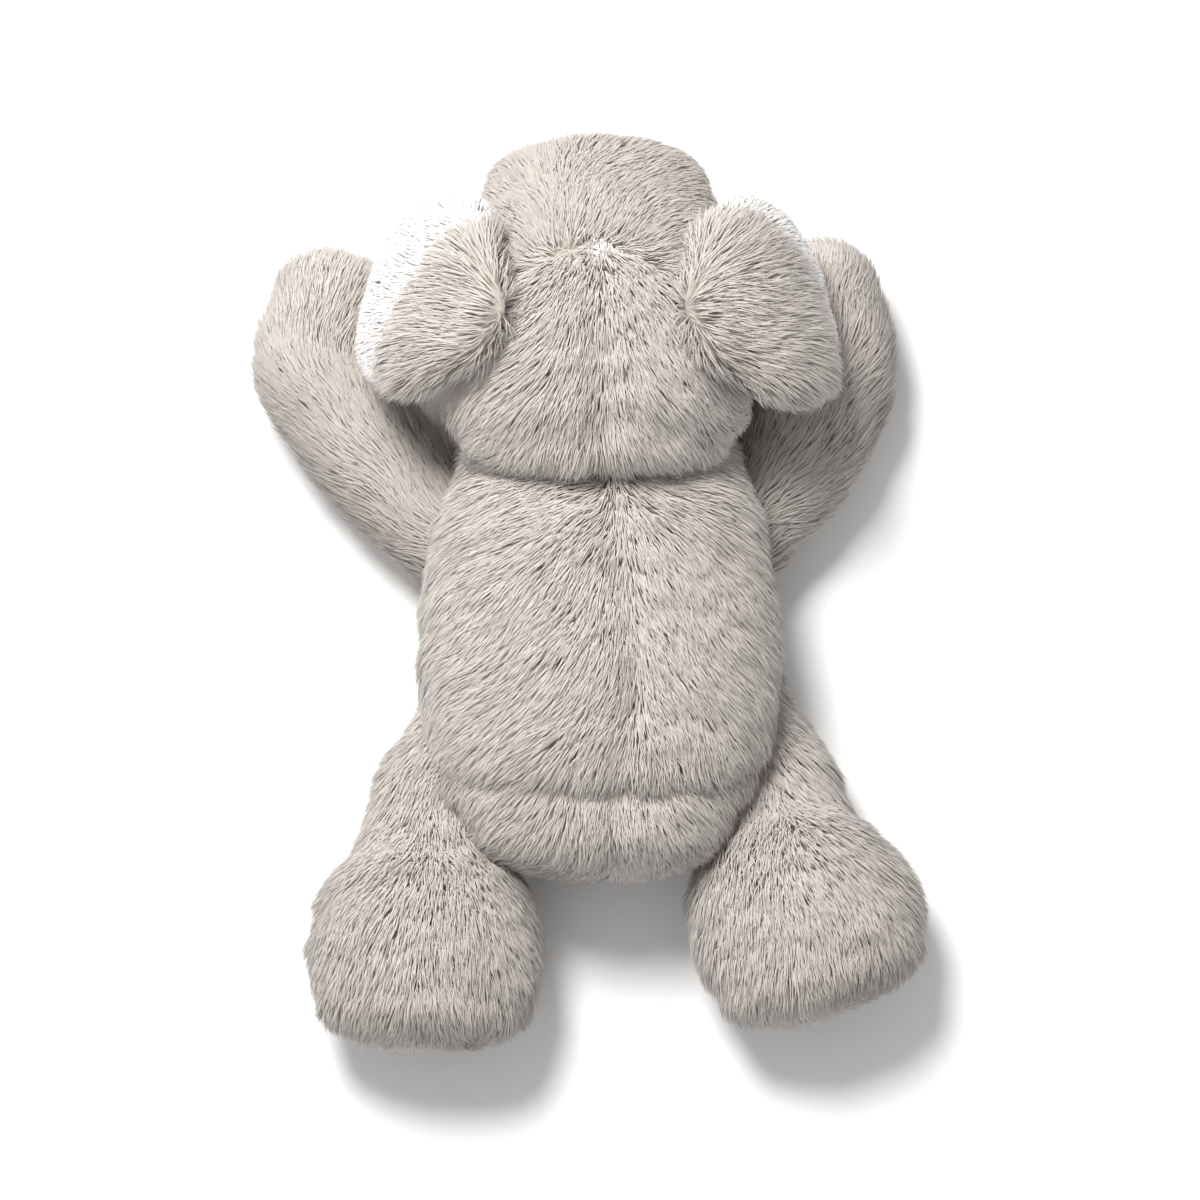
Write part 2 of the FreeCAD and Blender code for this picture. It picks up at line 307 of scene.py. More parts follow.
def times_plus(nodes, links, value, factor):
    """A node for value * factor + its third input, which the caller sets or links."""
    node = nodes.new("ShaderNodeMath")
    node.operation = "MULTIPLY_ADD"
    links.new(value, node.inputs[0])
    node.inputs[1].default_value = factor
    return node


def pile_material(name, root, middle, tip, variation, sheen):
    """Strands: dark at the root, light at the tip, with each clump and strand a little different.
    The strands' colour attribute holds the height along a strand, its clump's tone and its own tone."""
    made, nodes, links, shader = material(name)
    data = nodes.new("ShaderNodeAttribute")
    data.attribute_name = "pile"
    split = nodes.new("ShaderNodeSeparateColor")
    links.new(data.outputs["Color"], split.inputs[0])
    height = ramp(nodes, [(0.0, root), (0.45, middle), (1.0, tip)])
    links.new(split.outputs[0], height.inputs[0])
    clumps = times_plus(nodes, links, split.outputs[1], variation)
    clumps.inputs[2].default_value = 1 - variation * 0.8
    strand = times_plus(nodes, links, split.outputs[2], variation * 0.6)
    links.new(clumps.outputs[0], strand.inputs[2])
    cloud = noise_texture(nodes, links, scale=38, detail=3)
    shade = times_plus(nodes, links, cloud, variation * 0.8)
    links.new(strand.outputs[0], shade.inputs[2])
    mix = nodes.new("ShaderNodeMix")
    mix.data_type = "RGBA"
    mix.blend_type = "MULTIPLY"
    mix.inputs["Factor"].default_value = 1.0
    links.new(height.outputs[0], mix.inputs[6])
    grey = nodes.new("ShaderNodeCombineColor")
    for channel in range(3):
        links.new(shade.outputs[0], grey.inputs[channel])
    links.new(grey.outputs[0], mix.inputs[7])
    links.new(mix.outputs[2], shader.inputs["Base Color"])
    shader.inputs["Roughness"].default_value = 0.85
    shader.inputs["Specular IOR Level"].default_value = 0.25
    shader.inputs["Sheen Weight"].default_value = sheen
    shader.inputs["Sheen Roughness"].default_value = 0.45
    return made


def backing_material(name, dark, light):
    """The knitted backing and the dense lower pile that shows between strands."""
    made, nodes, links, shader = material(name)
    fine = noise_texture(nodes, links, scale=900, detail=4)
    cloud = noise_texture(nodes, links, scale=60)
    half = times_plus(nodes, links, cloud, 0.5)
    half.inputs[2].default_value = 0.0
    tone = times_plus(nodes, links, fine, 0.5)
    links.new(half.outputs[0], tone.inputs[2])
    colour = ramp(nodes, [(0.3, dark), (0.75, light)])
    links.new(tone.outputs[0], colour.inputs[0])
    links.new(colour.outputs[0], shader.inputs["Base Color"])
    bump = nodes.new("ShaderNodeBump")
    bump.inputs["Strength"].default_value = 0.5
    bump.inputs["Distance"].default_value = 0.0006
    links.new(fine, bump.inputs["Height"])
    links.new(bump.outputs[0], shader.inputs["Normal"])
    shader.inputs["Roughness"].default_value = 0.95
    return made


def bead_material():
    """Dark moulded plastic with a faint mottle and a worn, slightly uneven gloss."""
    made, nodes, links, shader = material("eye_bead")
    cloud = noise_texture(nodes, links, scale=400, detail=5)
    colour = ramp(nodes, [(0.3, (0.006, 0.004, 0.003)), (0.8, (0.02, 0.013, 0.01))])
    links.new(cloud, colour.inputs[0])
    links.new(colour.outputs[0], shader.inputs["Base Color"])
    gloss = ramp(nodes, [(0.2, (0.07, 0.07, 0.07)), (0.9, (0.2, 0.2, 0.2))])
    links.new(cloud, gloss.inputs[0])
    links.new(gloss.outputs[0], shader.inputs["Roughness"])
    shader.inputs["Coat Weight"].default_value = 0.4
    return made


def washer_material():
    """Pale moulded plastic with a slight mottle."""
    made, nodes, links, shader = material("washer_plastic")
    cloud = noise_texture(nodes, links, scale=250)
    colour = ramp(nodes, [(0.3, (0.62, 0.61, 0.58)), (0.8, (0.74, 0.73, 0.7))])
    links.new(cloud, colour.inputs[0])
    links.new(colour.outputs[0], shader.inputs["Base Color"])
    shader.inputs["Roughness"].default_value = 0.5
    return made


GREY = pile_material("grey_pile", root=(0.43, 0.38, 0.34), middle=(0.54, 0.49, 0.45),
                     tip=(0.64, 0.60, 0.565), variation=0.12, sheen=0.35)
# The short pile is a darker copy of the grey pile: painted shade for how light falls on short,
# forward-lying pile.
SHADED_SMOOTH_GREY = pile_material("smooth_grey_pile_painted_shade", root=(0.39, 0.345, 0.305), middle=(0.485, 0.44, 0.405),
                            tip=(0.57, 0.53, 0.495), variation=0.09, sheen=0.3)
WHITE = pile_material("white_pile", root=(0.70, 0.67, 0.65), middle=(0.83, 0.81, 0.80),
                      tip=(0.90, 0.89, 0.885), variation=0.06, sheen=0.3)
BACKING = backing_material("grey_backing", dark=(0.37, 0.325, 0.285), light=(0.50, 0.455, 0.415))
WHITE_BACKING = backing_material("white_backing", dark=(0.66, 0.63, 0.61), light=(0.84, 0.82, 0.80))


# ---------------------------------------------------------------- pile

# A strand's points are its root, three corners round its middle, and its tip.
STRAND_POINTS = 5
STRAND_FACES = np.array([(0, 2, 1), (0, 3, 2), (0, 1, 3), (1, 2, 4), (2, 3, 4), (3, 1, 4)])
STRAND_HEIGHT = np.array([0.0, 0.5, 0.5, 0.5, 1.0])
STRAND_CHART = np.array([(0.455, 0.05), (0.05, 0.58), (0.455, 0.5), (0.86, 0.5), (0.455, 0.95)])
SOFT_SHADE = 0.6        # how far a strand takes its shading from the skin below it
STRAND_WIDTHS = (0.18, 0.29)
ROOT_DEPTH = 0.6        # a strand starts this far inside the skin

# How the pile is combed, as shares of the combing direction, the length and the rise
WANDER_SHARE = 0.42
STRAY_SHARE = 0.2
LENGTHS = (0.78, 1.15)
RISES = (0.75, 1.25)
TUFT_LENGTH = 0.14
TUFT_RISE = 0.2
TUFT_APART = 40.0       # reads the tuft noise elsewhere for the rise, so that it differs from the length
CLUMP_SPACING = 2.4
CLUMP_PULL = 0.26

WANDER = [Noise(seed, 34.0) for seed in (3, 4, 5)]
TUFT = Noise(6, 13.0)
LUMPS = Noise(7, 46.0)
RIPPLE = Noise(8, 17.0)


def strand_mesh(name, roots, middles, tips, widths, tones, made, normals):
    """One mesh of closed three-sided strands, widest and bent at the middle, with a colour attribute
    and a map for baking, where each strand has a cell of its own."""
    count = len(roots)
    first = unit(middles - roots)
    side = unit(np.cross(first, unit(RNG.normal(size=(count, 3)))))
    other = np.cross(first, side)
    corners = [side, -0.5 * side + 0.87 * other, -0.5 * side - 0.87 * other]
    rows = [roots] + [middles + corner * widths[:, None] for corner in corners] + [tips]
    points = np.stack(rows, axis=1).reshape(-1, 3) * MM
    loops = (np.arange(count)[:, None] * STRAND_POINTS + STRAND_FACES.ravel()[None, :]).ravel()
    sizes = np.full(count * len(STRAND_FACES), 3)
    starts = np.arange(len(sizes)) * 3
    mesh = bpy.data.meshes.new(name)
    mesh.vertices.add(len(points))
    mesh.loops.add(len(loops))
    mesh.polygons.add(len(sizes))
    mesh.vertices.foreach_set("co", points.ravel())
    mesh.loops.foreach_set("vertex_index", loops)
    mesh.polygons.foreach_set("loop_start", starts)
    mesh.polygons.foreach_set("loop_total", sizes)
    mesh.update(calc_edges=True)
    mesh.shade_smooth()
    round_ways = np.stack([normals, *corners, normals], axis=1)
    mixed = unit(SOFT_SHADE * normals[:, None, :] + (1 - SOFT_SHADE) * round_ways)
    mesh.normals_split_custom_set_from_vertices(mixed.reshape(-1, 3))
    colours = np.ones((count, STRAND_POINTS, 4))
    colours[:, :, 0] = STRAND_HEIGHT[None, :]
    colours[:, :, 1] = tones[:, 0, None]
    colours[:, :, 2] = tones[:, 1, None]
    layer = mesh.attributes.new("pile", "FLOAT_COLOR", "POINT")
    layer.data.foreach_set("color", colours.ravel())
    cells = int(math.ceil(math.sqrt(count)))
    order = np.arange(count)
    u = (order % cells)[:, None] + STRAND_CHART[:, 0]
    v = (order // cells)[:, None] + STRAND_CHART[:, 1]
    chart = np.stack([u / cells, v / cells], axis=-1).reshape(-1, 2)
    mesh.uv_layers.new(name="OFBake").data.foreach_set("uv", chart[loops].ravel())
    obj = bpy.data.objects.new(name, mesh)
    bpy.context.collection.objects.link(obj)
    mesh.materials.append(made)
    return obj


def plant(obj, density):
    """Seeded points spread evenly over a skin, with their normals; density(points, normals) is a share."""
    mesh = obj.data
    mesh.calc_loop_triangles()
    triangles = np.empty(len(mesh.loop_triangles) * 3, dtype=np.int64)
    mesh.loop_triangles.foreach_get("vertices", triangles)
    triangles = triangles.reshape(-1, 3)
    points = points_of(obj)
    normals = normals_of(obj)
    a, b, c = (points[triangles[:, k]] for k in range(3))
    areas = 0.5 * np.linalg.norm(np.cross(b - a, c - a), axis=1)
    count = int(areas.sum() * PILE_PER_MM2)
    chosen = RNG.choice(len(triangles), count, p=areas / areas.sum())
    r1 = np.sqrt(RNG.random(count))
    r2 = RNG.random(count)
    weights = np.stack([1 - r1, r1 * (1 - r2), r1 * r2], axis=1)
    spots = np.einsum("nk,nkd->nd", weights, points[triangles[chosen]])
    ways = unit(np.einsum("nk,nkd->nd", weights, normals[triangles[chosen]]))
    kept = RNG.random(count) < density(spots, ways)
    return spots[kept], ways[kept]


def clump(roots, shift, middles):
    """Draws the tips of strands that stand close together towards a shared tip, and gives each
    clump a tone."""
    count = int(len(roots) / (PILE_PER_MM2 * CLUMP_SPACING ** 2))
    centres = RNG.choice(len(roots), count, replace=False)
    tree = kdtree.KDTree(count)
    for index, centre in enumerate(centres):
        tree.insert(roots[centre], index)
    tree.balance()
    owner = np.array([tree.find(root)[1] for root in roots])
    amount = np.bincount(owner, minlength=count)[:, None]
    total_shift = np.column_stack([np.bincount(owner, shift[:, k], count) for k in range(3)])
    mean_shift = total_shift / np.maximum(amount, 1)
    target = roots[centres[owner]] + mean_shift[owner]
    tips = roots + shift
    strength = CLUMP_PULL * RNG.uniform(0.7, 1.15, (len(roots), 1))
    tips = tips + (target - tips) * strength
    half_way = roots[centres[owner]] + mean_shift[owner] * 0.5
    middles = middles + (half_way - middles) * strength * 0.3
    return middles, tips, RNG.random(count)[owner]


def comb(obj, flow, style, density):
    """Strands on a skin: roots, normals, middles, tips, widths and tones.
    style(points, normals) gives length, rise at the root and rise at the tip for each strand."""
    roots, normals = plant(obj, density)
    way = flow(roots, normals)
    wander = np.stack([noise(roots) for noise in WANDER], axis=1)
    way = way + WANDER_SHARE * wander + RNG.normal(size=roots.shape) * STRAY_SHARE
    way = unit(way - normals * np.einsum("nd,nd->n", way, normals)[:, None])
    length, rise, tip_rise = style(roots, normals)
    length = length * RNG.uniform(*LENGTHS, len(roots)) * (1 + TUFT_LENGTH * TUFT(roots))
    rise = rise * (1 + TUFT_RISE * TUFT(roots + TUFT_APART)) * RNG.uniform(*RISES, len(roots))
    first = unit(way * np.cos(rise)[:, None] + normals * np.sin(rise)[:, None])
    last = unit(way * np.cos(tip_rise)[:, None] + normals * np.sin(tip_rise)[:, None])
    middles = roots + first * (length * 0.5)[:, None]
    shift = middles - roots + last * (length * 0.5)[:, None]
    middles, tips, shade = clump(roots, shift, middles)
    widths = RNG.uniform(*STRAND_WIDTHS, len(roots))
    tones = np.stack([shade, RNG.random(len(roots))], axis=1)
    return {"roots": roots, "normals": normals, "middles": middles, "tips": tips,
            "widths": widths, "tones": tones}


def pile_pieces(strands, panels):
    """Splits the strands of one body between its panels: {piece name: (mask, material, frame node)}."""
    made = []
    for name, (mask, pile, node) in panels.items():
        own = {key: values[mask] for key, values in strands.items()}
        piece = strand_mesh(name, own["roots"] - own["normals"] * ROOT_DEPTH, own["middles"], own["tips"],
                            own["widths"], own["tones"], pile, own["normals"])
        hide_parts(node)
        made.append(piece)
    return made


def attach(pieces, body, bend=None):
    """Rides the pieces on a body; with a bend given, it only bakes each piece's place into its mesh, and
    neither the body nor the bend's places are used.
    """
    for piece in pieces:
        if bend is None:
            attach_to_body(piece, body)
        else:
            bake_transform(piece)


# ---------------------------------------------------------------- torso

TORSO_LOW, TORSO_HIGH = box_of("back_panel_left", "back_panel_right", "belly_panel", "base_panel")
TORSO_MIDDLE = 0.5 * (TORSO_LOW[0] + TORSO_HIGH[0])
# along the body, then its share of the full half width and of the full half height
TORSO_ROWS = [(-76, 0.74, 0.73), (-62, 0.895, 0.90), (-45, 0.975, 0.98), (-28, 1.0, 1.0),
              (-8, 0.985, 0.985), (10, 0.94, 0.94), (24, 0.87, 0.88), (37, 0.76, 0.78)]
TORSO_CAPS = (15.5, 12.0)
BACK_SEAM = [(52, 0.0), (20, 2.0), (-5, 8.0), (-40, 12.0), (-70, 4.0)]    # along the body, then sideways
BACK_SEAM_LOWEST = 40.0
BASE_SEAM_Y, BASE_SEAM_Z = -69.0, 66.0
BASE_TILT = math.radians(24)
SIDE_SEAM_Z = 22.0
FLOOR_EASE = 6.0        # skins are pressed level over this height above the floor
SIDEWAYS = np.array([1.0, 0, 0])


def back_seam_x(along):
    """The back seam wanders from side to side down the back."""
    places = np.array(BACK_SEAM)[::-1]
    return np.interp(along, places[:, 0], places[:, 1])


def base_distance(points):
    """How far a point is past the base seam's plane, towards the tail."""
    return -((points[:, 1] - BASE_SEAM_Y) * math.cos(BASE_TILT)
             + (points[:, 2] - BASE_SEAM_Z) * math.sin(BASE_TILT))


def valley(distance, width, depth):
    """How far a skin is drawn in near a seam or a dimple."""
    return -depth * np.exp(-(distance / width) ** 2)


def make_torso():
    half = 0.5 * (TORSO_HIGH[0] - TORSO_LOW[0]) - PILE_INSET
    top = TORSO_HIGH[2] - PILE_INSET
    route = [(TORSO_MIDDLE, along, top / 2) for along, _, _ in TORSO_ROWS]
    sizes = [(half * wide, top / 2 * tall) for _, wide, tall in TORSO_ROWS]
    points, faces = ring_form(route, sizes, SIDEWAYS, TORSO_CAPS, blunt=2.3, square=2.15)
    skin = skin_object("torso_skin", points, faces, BACKING)
    puff(skin, torso_seams, cap=4.0)
    push(skin, lambda at, way: -1.8 + 0.9 * LUMPS(at) + 0.5 * RIPPLE(at)
         + valley(at[:, 0] - back_seam_x(at[:, 1]), 2.6, 2.2) * (at[:, 2] > BACK_SEAM_LOWEST)
         + valley(base_distance(at), 4.0, 1.7) * (at[:, 2] > 12)
         + valley(at[:, 2] - SIDE_SEAM_Z, 2.5, 1.2))
    settle(skin, 1.2)
    soften(skin, 2)
    return skin


def torso_seams(points):
    """The points that the cloth is held at: along the seams, and on the floor."""
    back = (np.abs(points[:, 0] - back_seam_x(points[:, 1])) < 2) & (points[:, 2] > BACK_SEAM_LOWEST)
    base = np.abs(base_distance(points)) < 2
    side = np.abs(points[:, 2] - SIDE_SEAM_Z) < 1.6
    floor = points[:, 2] < 3
    return back | base | side | floor


def settle(obj, height):
    """Rests a skin on the floor: what is lower than a height is pressed level, softly."""
    points = points_of(obj)
    low = points[:, 2] < height + FLOOR_EASE
    over = points[low, 2] - height
    points[low, 2] = height + FLOOR_EASE * np.logaddexp(0, (over - 2) / 2) / 4
    points[:, 2] = np.maximum(points[:, 2], height)
    set_points(obj, points)


def torso_flow(points, normals):
    """Down the back, parting to both sides at the seam, and flatter to the side near the shoulders."""
    from_seam = points[:, 0] - back_seam_x(points[:, 1])
    side = np.clip(from_seam / 40, -1, 1) + 0.45 * np.tanh(from_seam / 2.5) * np.exp(-np.abs(from_seam) / 8)
    high = step(-10, 30, points[:, 1])
    down = np.full(len(points), -0.25)
    flow = np.column_stack([side * (0.9 + 1.2 * high) - 0.15, -0.9 + 0.35 * high, down])
    below = normals[:, 2] < -0.2
    flow[below] = [0.0, -1.0, 0.0]
    return flow


def long_style(points, normals):
    """Long pile that stands up and curls over, and lies shorter and flatter underneath."""
    count = len(points)
    under = step(-0.1, -0.6, normals[:, 2])
    return 10.0 - 3.0 * under, np.full(count, 0.80) - 0.4 * under, np.full(count, 0.30) - 0.25 * under


def upper_density(points, normals):
    return np.where(normals[:, 2] > -0.25, 1.0, UNDER_SHARE)


def dress_torso():
    skin = make_torso()
    strands = comb(skin, torso_flow, long_style, upper_density)
    at = strands["roots"]
    base = base_distance(at) > 0
    belly = ~base & (at[:, 2] < SIDE_SEAM_Z)
    left = at[:, 0] < back_seam_x(at[:, 1])
    panels = {"base_pile": (base, GREY, "base_panel"),
              "belly_pile": (belly, GREY, "belly_panel"),
              "back_pile_left": (~base & ~belly & left, GREY, "back_panel_left"),
              "back_pile_right": (~base & ~belly & ~left, GREY, "back_panel_right")}
    attach([skin] + pile_pieces(strands, panels), "torso")
    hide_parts("torso_stuffing")


# ---------------------------------------------------------------- head

HEAD_MIDDLE = 0.5 * (box_of("head_back_left")[0][0] + box_of("head_back_right")[1][0])
CROWN_Y = box_of("forehead_panel")[0][1]
CHEEK_Z = box_of("cheek_panel_left")[1][2]
TRUNK_PIVOT = pivot_of("trunk_curl")
NECK_BEND = ("torso", np.array([0.0, 18.0, 48.0]), np.array([0.0, 66.0, 48.0]))
# along the body, height of the middle, half width, half height
HEAD_ROWS = [(40, 57, 38.5, 28.5), (49, 57.5, 44.0, 33.5), (62, 57.5, 47.0, 36.0), (78, 57, 46.5, 35.5),
             (94, 55.5, 42.5, 32.5), (108, 53.5, 38.5, 28.0), (120, 52.0, 34.5, 22.5)]
HEAD_CAPS = (11.5, 15.0)
CROWN_ARCH = 0.018      # how fast the crown seam curves back to the sides
HEAD_SEAM_ASIDE = 1.5   # the seam at the back of the head lies this far right of the middle
# place, width and depth of the dimples along that seam
SEAM_DIMPLES = [((1.0, 66.0), 4.0, 2.4), ((2.0, 44.0), 5.0, 2.4), ((1.5, 55.0), 5.0, 1.2)]
TUFT_STRANDS = 160

EYE_RADIUS = 4.6
EYE_CLEAR = 0.8         # bare skin round each bead
EYE_WAYS = {"eye_left": (-0.62, 0.66, -0.42), "eye_right": (0.62, 0.66, -0.42)}


def eye_seats():
    """Where each bead sits on the face: its outermost point, a radius back."""
    seats = []
    for node, way in EYE_WAYS.items():
        outward = unit(np.array(way))
        points = points_of(frame["nodes"][node])
        seats.append(points[np.argmax(points @ outward)] - outward * EYE_RADIUS)
    return seats


EYE_SEATS = eye_seats()


def eye_distance(points):
    """How far each point is from the nearer eye's middle."""
    return np.min([np.linalg.norm(points - seat, axis=1) for seat in EYE_SEATS], axis=0)


def make_head():
    route = [(HEAD_MIDDLE, along, tall) for along, tall, _, _ in HEAD_ROWS]
    sizes = [(wide, high) for _, _, wide, high in HEAD_ROWS]
    points, faces = ring_form(route, sizes, SIDEWAYS, HEAD_CAPS, blunt=2.4, square=2.1)
    skin = skin_object("head_skin", points, faces, BACKING)
    puff(skin, head_seams, cap=4.0)
    push(skin, head_relief)
    soften(skin, 2)
    return skin


def past_crown(points):
    """How far a point is in front of the crown seam, which arches back towards the ears."""
    return points[:, 1] - CROWN_Y + CROWN_ARCH * (points[:, 0] - HEAD_MIDDLE) ** 2


def head_relief(points, normals):
    """Lumps, seams and dimples, the skin brought out to the eyes, and drawn in round the trunk."""
    upper = points[:, 2] > CHEEK_Z + 8
    relief = -1.6 + 0.8 * LUMPS(points + 90) + 0.4 * RIPPLE(points)
    relief += valley(past_crown(points), 3.5, 1.1) * upper
    from_seam = points[:, 0] - HEAD_MIDDLE - HEAD_SEAM_ASIDE
    relief += valley(from_seam, 2.4, 1.2) * upper * (points[:, 1] < CROWN_Y)
    for (x, y), width, depth in SEAM_DIMPLES:
        away = np.hypot(points[:, 0] - x, points[:, 1] - y)
        relief += valley(away, width, depth) * upper
    relief += valley(points[:, 2] - CHEEK_Z, 2.6, 0.8)
    relief -= valley(eye_distance(points), 9.0, 3.2)
    mouth = np.linalg.norm(points - TRUNK_PIVOT, axis=1)
    return relief + valley(mouth, 13.0, 3.0)


def head_seams(points):
    """The points that the cloth is held at."""
    crown = (np.abs(past_crown(points)) < 1.8) & (points[:, 2] > CHEEK_Z)
    back = (np.abs(points[:, 0] - HEAD_MIDDLE) < 1.8) & (points[:, 1] < CROWN_Y) & (points[:, 2] > CHEEK_Z)
    cheek = np.abs(points[:, 2] - CHEEK_Z) < 1.6
    return crown | back | cheek


def head_flow(points, normals):
    """Behind the crown seam the pile runs to the nape and fans out to the cheeks; before it, forward."""
    from_seam = points[:, 0] - HEAD_MIDDLE - HEAD_SEAM_ASIDE
    side = np.clip(from_seam / 42, -1, 1)
    parted = side + 0.5 * np.tanh(from_seam / 2.5) * np.exp(-np.abs(from_seam) / 7)
    front = step(-4, 2, past_crown(points))[:, None]
    level = np.ones(len(points))
    back_flow = np.column_stack([parted * 1.15, -0.85 + 0.1 * np.abs(side), -0.35 * level])
    front_flow = np.column_stack([side * 1.2 + 0.45, 0.5 - 0.25 * np.abs(side), -0.5 * level])
    flow = back_flow * (1 - front) + front_flow * front
    under = normals[:, 2] < -0.3
    flow[under] = [0.0, -1.0, 0.0]
    return flow


def head_style(points, normals):
    """Long behind the crown, shorter and lying closer on the forehead, and short round the eyes."""
    length, rise, tip_rise = long_style(points, normals)
    front = step(-2, 6, past_crown(points))
    length = length * (1 - 0.5 * step(14, 6, eye_distance(points)))
    return length * (1 - 0.22 * front), rise * (1 - 0.35 * front), tip_rise * (1 - 0.3 * front)


def head_density(points, normals):
    bare = eye_distance(points) < EYE_RADIUS + EYE_CLEAR
    return np.where(bare, 0.0, upper_density(points, normals))


def crown_tuft():
    """The few pale strands that stand out of the crown seam."""
    count = TUFT_STRANDS
    skin_top = box_of("forehead_panel")[1][2] - PILE_INSET
    centre = np.array([HEAD_MIDDLE + 1.0, CROWN_Y + 1.0, skin_top - 1.0])
    roots = centre + RNG.normal(size=(count, 3)) * [1.6, 1.5, 0.2]
    way = unit(np.array([0.1, -0.75, 0.55]) + RNG.normal(size=(count, 3)) * 0.22)
    length = RNG.uniform(7, 10, (count, 1))
    middles = roots + way * length * 0.5
    tips = middles + unit(way + [0, -0.5, -0.35]) * length * 0.5
    tones = RNG.random((count, 2))
    widths = RNG.uniform(0.22, 0.32, count)
    return strand_mesh("crown_tuft", roots, middles, tips, widths, tones, WHITE, np.tile(UP, (count, 1)))


def dress_head():
    skin = make_head()
    strands = comb(skin, head_flow, head_style, head_density)
    at = strands["roots"]
    low = at[:, 2] < CHEEK_Z
    front = ~low & (past_crown(at) > 0)
    left = at[:, 0] < HEAD_MIDDLE
    panels = {"forehead_pile": (front, SHADED_SMOOTH_GREY, "forehead_panel"),
              "head_pile_left": (~low & ~front & left, GREY, "head_back_left"),
              "head_pile_right": (~low & ~front & ~left, GREY, "head_back_right"),
              "cheek_pile_left": (low & left, SHADED_SMOOTH_GREY, "cheek_panel_left"),
              "cheek_pile_right": (low & ~left, SHADED_SMOOTH_GREY, "cheek_panel_right")}
    tuft = crown_tuft()
    attach([skin, tuft] + pile_pieces(strands, panels), "head", NECK_BEND)
    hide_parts("head_stuffing")
    bead = bead_material()
    washer = washer_material()
    for side in ("left", "right"):
        for node, made in (("eye_", bead), ("eye_washer_", washer)):
            looks = frame["nodes"][node + side].data.materials
            looks.clear()
            looks.append(made)


# ---------------------------------------------------------------- trunk, arms and legs

# routes from the root to the end, and half widths and half heights along them
ARM_ROUTE = {"left": [(-43, 13, 20), (-52, 22, 20), (-66, 36, 20), (-79.5, 53, 20.5), (-88, 69, 21),
                      (-85, 85, 21.5)],
             "right": [(42, 15, 18), (48, 24, 18), (58, 37, 18), (68, 54, 19.5), (73, 72, 21),
                       (70, 88, 21.5)]}
ARM_SIZES = [(16.0, 15.0), (17.0, 15.5), (18.0, 16.5), (18.8, 18.2), (19.2, 18.8), (18.6, 18.4)]
ARM_CAPS = (14.0, 17.0)
ARM_SEAM_Z = 20.0
LEG_ROUTE = {"left": [(-40, -44, 20), (-49, -68, 20), (-51.5, -86, 22.5), (-53, -101, 26),
                      (-54.5, -117, 26.5), (-55, -128, 26.5)],
             "right": [(42, -38, 18), (50.5, -60, 18), (56, -79, 21.5), (59.5, -93, 26),
                       (64.5, -108, 26.5), (67.5, -118, 26.5)]}
LEG_SIZES = [(15.0, 15.0), (20.5, 17.5), (23.0, 20.5), (31.0, 24.5), (35.0, 25.5), (33.0, 24.5)]
LEG_CAPS = (16.0, 14.5)
LEG_SEAM_Z = 24.0
SOLE_PAST_END = 0.5     # the sole's seam lies this far past the end of the leg's route
TRUNK_ROUTE = [(-1, 122, 40), (-1, 127, 27), (-1, 122.5, 16), (-1, 111, 11.4), (-1, 97, 10.6),
               (-1, 84, 10.2)]
TRUNK_SIZES = [(10.4, 10.4), (10.0, 10.0), (9.5, 9.5), (8.9, 8.9), (8.3, 8.3), (7.6, 7.6)]
TRUNK_CAPS = (6.0, 6.5)
TRUNK_INSET = 2.0
SHORTER = 0.7           # the trunk's pile against the torso's
LIMB_STEPS = 120        # points of the fine curve that a limb's pile follows


def along_route(route, points):
    """For each point: the share of the route it lies beside, the route's direction there, and the way
    from the route out to the point."""
    fine = smooth(np.asarray(route, float), np.linspace(0, 1, LIMB_STEPS))
    ways = unit(np.gradient(fine, axis=0))
    nearest = np.argmin(((points[:, None, :] - fine[None, :, :]) ** 2).sum(axis=2), axis=1)
    return nearest / (LIMB_STEPS - 1), ways[nearest], points - fine[nearest]


def limb_flow(route, lean):
    """Along a limb towards its end, leaning outward from its middle line."""
    def flow(points, normals):
        share, ways, out = along_route(route, points)
        return ways + lean * unit(out) * step(0.3, 1.0, share)[:, None] + [0, 0, -0.2]
    return flow


def make_limb(name, route, sizes, level, caps, inset=PILE_INSET, seed=0.0):
    """A limb's skin: a ring form with lumps, settled on the floor.  seed keeps limbs from looking alike."""
    thinner = [(wide - inset, high - inset) for wide, high in sizes]
    points, faces = ring_form(route, thinner, level, caps, blunt=2.2, square=2.05, rings=64, around=72)
    skin = skin_object(name, points, faces, BACKING)
    push(skin, lambda at, way: 0.8 * LUMPS(at + seed) + 0.45 * RIPPLE(at + seed))
    settle(skin, 1.4)
    soften(skin, 2)
    return skin


def short_style(points, normals):
    """Like the torso's pile, but shorter and lying closer."""
    length, rise, tip_rise = long_style(points, normals)
    return length * SHORTER, rise * 0.8, tip_rise * 0.8


def dress_trunk():
    skin = make_limb("trunk_skin", TRUNK_ROUTE, TRUNK_SIZES, SIDEWAYS, TRUNK_CAPS, inset=TRUNK_INSET,
                     seed=11.0)
    strands = comb(skin, limb_flow(TRUNK_ROUTE, 0.2), short_style, lambda at, way: np.full(len(at), 0.9))
    left = strands["roots"][:, 0] < TRUNK_PIVOT[0]
    panels = {"trunk_pile_left": (left, SHADED_SMOOTH_GREY, "trunk_panel_left"),
              "trunk_pile_right": (~left, SHADED_SMOOTH_GREY, "trunk_panel_right")}
    start = TRUNK_PIVOT + [0, -2.0, 6.0]
    end = TRUNK_PIVOT + [0, 2.0, -14.0]
    attach([skin] + pile_pieces(strands, panels), "trunk", ("head", start, end))
    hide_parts("trunk_stuffing")


